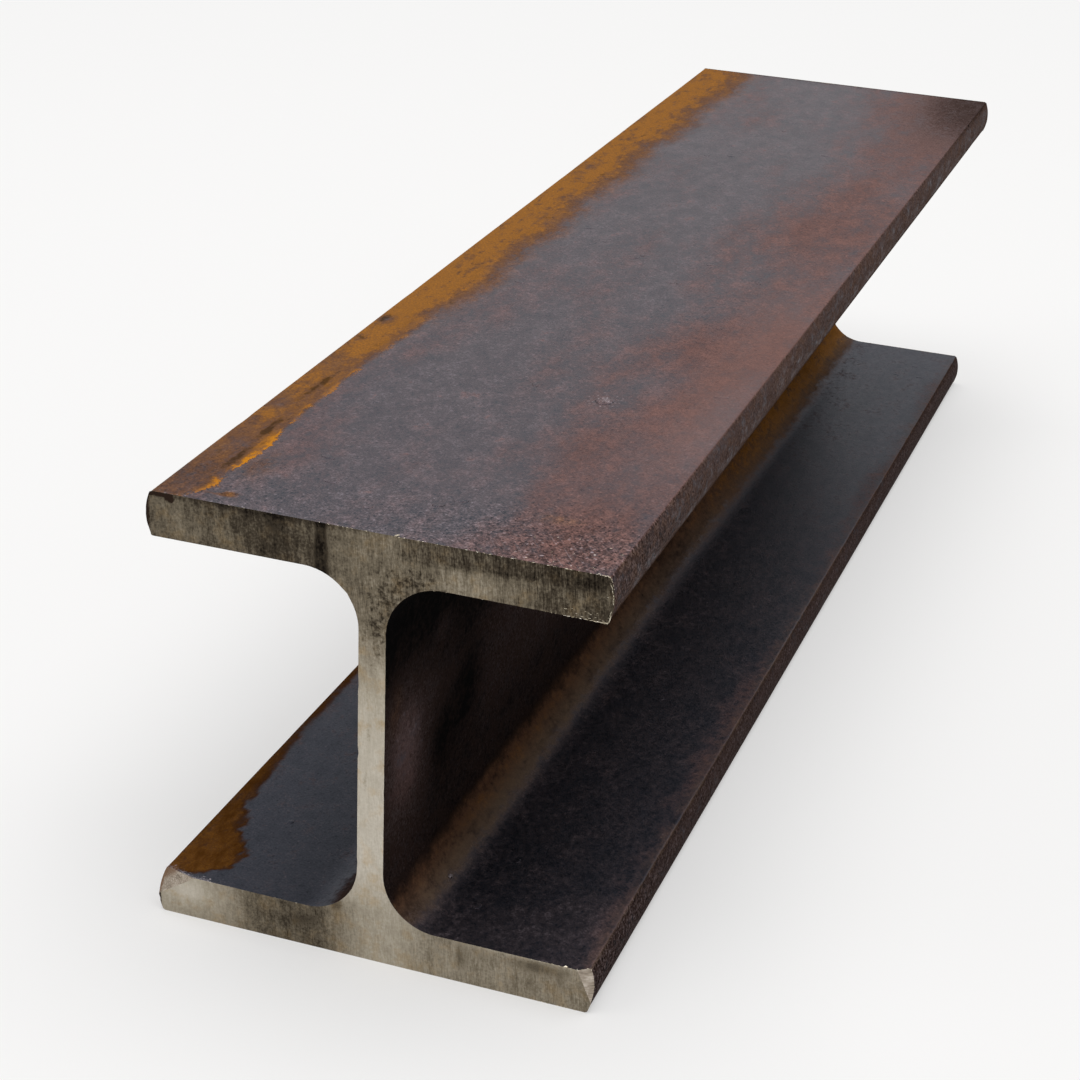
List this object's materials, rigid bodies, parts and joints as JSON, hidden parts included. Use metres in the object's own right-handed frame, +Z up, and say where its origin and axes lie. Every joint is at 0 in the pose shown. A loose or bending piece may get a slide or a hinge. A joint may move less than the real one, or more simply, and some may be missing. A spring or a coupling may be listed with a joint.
{
  "type": "steel h-beam",
  "caption": "Short length of hot-rolled wide-flange steel H-section, sawn square at its ends, with filleted roots, crowned flange tips, mill scale and edge rust. A load-bearing beam or post.",
  "frame": {"origin": "under the middle of the beam, on the outer face of the bottom flange, halfway between the sawn ends", "axes": "+Y along the beam towards the far sawn end, +X across the flanges, +Z up through the web towards the top flange"},
  "size_m": [0.1, 0.4, 0.1],
  "materials": {
    "rolled_steel": "hot-rolled mill scale, blue-grey with red-brown mottling and orange rust along edges and roots; sawn ends bare grey steel"
  },
  "bodies": {
    "root": {"h_beam": "rolled_steel"}
  },
  "joints": []
}
